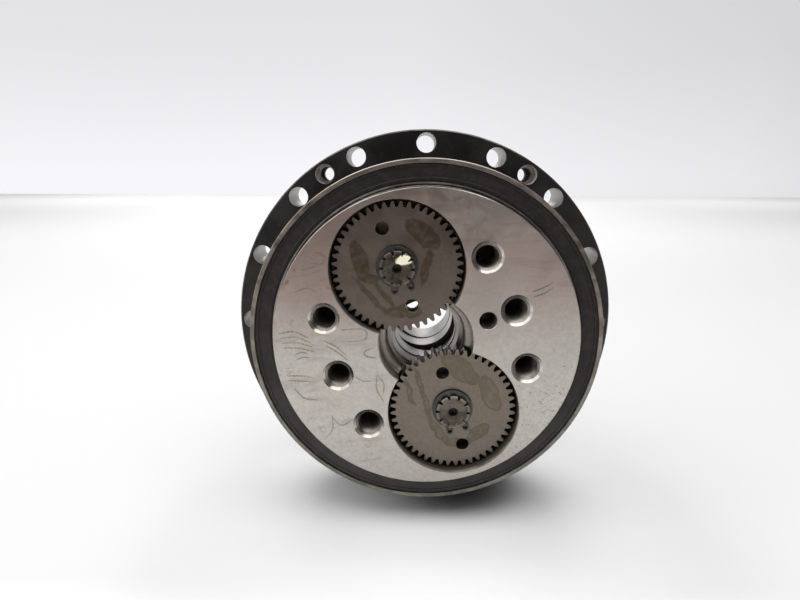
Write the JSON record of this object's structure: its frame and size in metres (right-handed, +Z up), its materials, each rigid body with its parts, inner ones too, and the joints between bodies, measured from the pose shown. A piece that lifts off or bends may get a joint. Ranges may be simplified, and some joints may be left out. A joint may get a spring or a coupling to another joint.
{
  "type": "planetary gear set",
  "caption": "Compact two-stage reducer: spur planet gears on splined crankshafts drive cycloid discs inside a flanged round case.",
  "frame": {"origin": "centre of the footprint, under the lowest line of the flange rim", "axes": "+Y along the main axis away from the gear side, +Z up, +X to the right seen from the gear side"},
  "size_m": [0.1898, 0.076, 0.1899],
  "materials": {
    "case_iron": "black oxide, turned",
    "ground_steel": "ground",
    "turned_steel": "turned",
    "dark_steel": "oiled, heat treated",
    "black_steel": "black oxide",
    "seal_rubber": "matt",
    "cage_metal": "bearing cage and rolling elements"
  },
  "bodies": {
    "case": {"case": "case_iron", "ring_pins": "ground_steel", "front_bearing_outer_ring": "ground_steel", "rear_bearing_outer_ring": "ground_steel", "oil_seal": "seal_rubber"},
    "carrier": {"shaft_flange": "ground_steel", "hold_flange": "turned_steel", "front_bearing_inner_ring": "ground_steel", "rear_bearing_inner_ring": "ground_steel", "clamp_bolt_1": "black_steel", "clamp_bolt_2": "black_steel", "clamp_bolt_3": "black_steel", "clamp_bolt_4": "black_steel", "clamp_bolt_5": "black_steel", "clamp_bolt_6": "black_steel", "locating_pin_1": "ground_steel", "locating_pin_2": "ground_steel", "crank_a_front_cup": "ground_steel", "crank_a_rear_cup": "ground_steel", "crank_b_front_cup": "ground_steel", "crank_b_rear_cup": "ground_steel"},
    "front_balls": {"front_bearing_balls": "cage_metal"},
    "rear_balls": {"rear_bearing_balls": "cage_metal"},
    "crank_a": {"crankshaft_a": "dark_steel", "spur_gear_a": "dark_steel", "circlip_a": "black_steel"},
    "crank_a_front_rollers": {"crank_a_front_rollers": "cage_metal"},
    "crank_a_rear_rollers": {"crank_a_rear_rollers": "cage_metal"},
    "crank_a_front_needles": {"crank_a_front_needles": "cage_metal"},
    "crank_a_rear_needles": {"crank_a_rear_needles": "cage_metal"},
    "crank_b": {"crankshaft_b": "dark_steel", "spur_gear_b": "dark_steel", "circlip_b": "black_steel"},
    "crank_b_front_rollers": {"crank_b_front_rollers": "cage_metal"},
    "crank_b_rear_rollers": {"crank_b_rear_rollers": "cage_metal"},
    "crank_b_front_needles": {"crank_b_front_needles": "cage_metal"},
    "crank_b_rear_needles": {"crank_b_rear_needles": "cage_metal"},
    "disc_front": {"disc_front": "turned_steel"},
    "disc_rear": {"disc_rear": "turned_steel"}
  },
  "joints": [
    {"name": "carrier_turn", "type": "hinge", "parent": "case", "child": "carrier", "pos_m": [0, 0, 0.09493], "axis": [0, 1, 0], "continuous": true},
    {"name": "front_balls_roll", "type": "hinge", "parent": "case", "child": "front_balls", "pos_m": [0, -0.0147, 0.09493], "axis": [0, 1, 0], "continuous": true},
    {"name": "rear_balls_roll", "type": "hinge", "parent": "case", "child": "rear_balls", "pos_m": [0, 0.0279, 0.09493], "axis": [0, 1, 0], "continuous": true},
    {"name": "crank_a_spin", "type": "hinge", "parent": "carrier", "child": "crank_a", "pos_m": [-0.01308, 0, 0.12847], "axis": [0, 1, 0], "continuous": true},
    {"name": "crank_a_front_rollers_roll", "type": "hinge", "parent": "carrier", "child": "crank_a_front_rollers", "pos_m": [-0.01308, -0.0209, 0.12847], "axis": [0, 1, 0], "continuous": true},
    {"name": "crank_a_rear_rollers_roll", "type": "hinge", "parent": "carrier", "child": "crank_a_rear_rollers", "pos_m": [-0.01308, 0.0203, 0.12847], "axis": [0, 1, 0], "continuous": true},
    {"name": "crank_a_front_needles_roll", "type": "hinge", "parent": "crank_a", "child": "crank_a_front_needles", "pos_m": [-0.01224, -0.0073, 0.12747], "axis": [0, 1, 0], "continuous": true},
    {"name": "crank_a_rear_needles_roll", "type": "hinge", "parent": "crank_a", "child": "crank_a_rear_needles", "pos_m": [-0.01391, 0.0062, 0.12946], "axis": [0, 1, 0], "continuous": true},
    {"name": "crank_b_spin", "type": "hinge", "parent": "carrier", "child": "crank_b", "pos_m": [0.01308, 0, 0.06139], "axis": [0, 1, 0], "continuous": true},
    {"name": "crank_b_front_rollers_roll", "type": "hinge", "parent": "carrier", "child": "crank_b_front_rollers", "pos_m": [0.01308, -0.0209, 0.06139], "axis": [0, 1, 0], "continuous": true},
    {"name": "crank_b_rear_rollers_roll", "type": "hinge", "parent": "carrier", "child": "crank_b_rear_rollers", "pos_m": [0.01308, 0.0203, 0.06139], "axis": [0, 1, 0], "continuous": true},
    {"name": "crank_b_front_needles_roll", "type": "hinge", "parent": "crank_b", "child": "crank_b_front_needles", "pos_m": [0.01391, -0.0073, 0.06039], "axis": [0, 1, 0], "continuous": true},
    {"name": "crank_b_rear_needles_roll", "type": "hinge", "parent": "crank_b", "child": "crank_b_rear_needles", "pos_m": [0.01224, 0.0062, 0.06238], "axis": [0, 1, 0], "continuous": true},
    {"name": "disc_front_swing", "type": "hinge", "parent": "crank_a", "child": "disc_front", "pos_m": [-0.01224, -0.0073, 0.12747], "axis": [0, 1, 0], "continuous": true},
    {"name": "disc_rear_swing", "type": "hinge", "parent": "crank_a", "child": "disc_rear", "pos_m": [-0.01391, 0.0062, 0.12946], "axis": [0, 1, 0], "continuous": true}
  ],
  "couplings": [
    {"joint": "front_balls_roll", "follows": "carrier_turn", "ratio": 0.475},
    {"joint": "rear_balls_roll", "follows": "carrier_turn", "ratio": 0.475},
    {"joint": "crank_a_spin", "follows": "carrier_turn", "ratio": -40},
    {"joint": "crank_a_front_rollers_roll", "follows": "carrier_turn", "ratio": -16},
    {"joint": "crank_a_rear_rollers_roll", "follows": "carrier_turn", "ratio": -16},
    {"joint": "crank_a_front_needles_roll", "follows": "carrier_turn", "ratio": 22.4},
    {"joint": "crank_a_rear_needles_roll", "follows": "carrier_turn", "ratio": 22.4},
    {"joint": "crank_b_spin", "follows": "carrier_turn", "ratio": -40},
    {"joint": "crank_b_front_rollers_roll", "follows": "carrier_turn", "ratio": -16},
    {"joint": "crank_b_rear_rollers_roll", "follows": "carrier_turn", "ratio": -16},
    {"joint": "crank_b_front_needles_roll", "follows": "carrier_turn", "ratio": 22.4},
    {"joint": "crank_b_rear_needles_roll", "follows": "carrier_turn", "ratio": 22.4},
    {"joint": "disc_front_swing", "follows": "carrier_turn", "ratio": 40},
    {"joint": "disc_rear_swing", "follows": "carrier_turn", "ratio": 40}
  ]
}
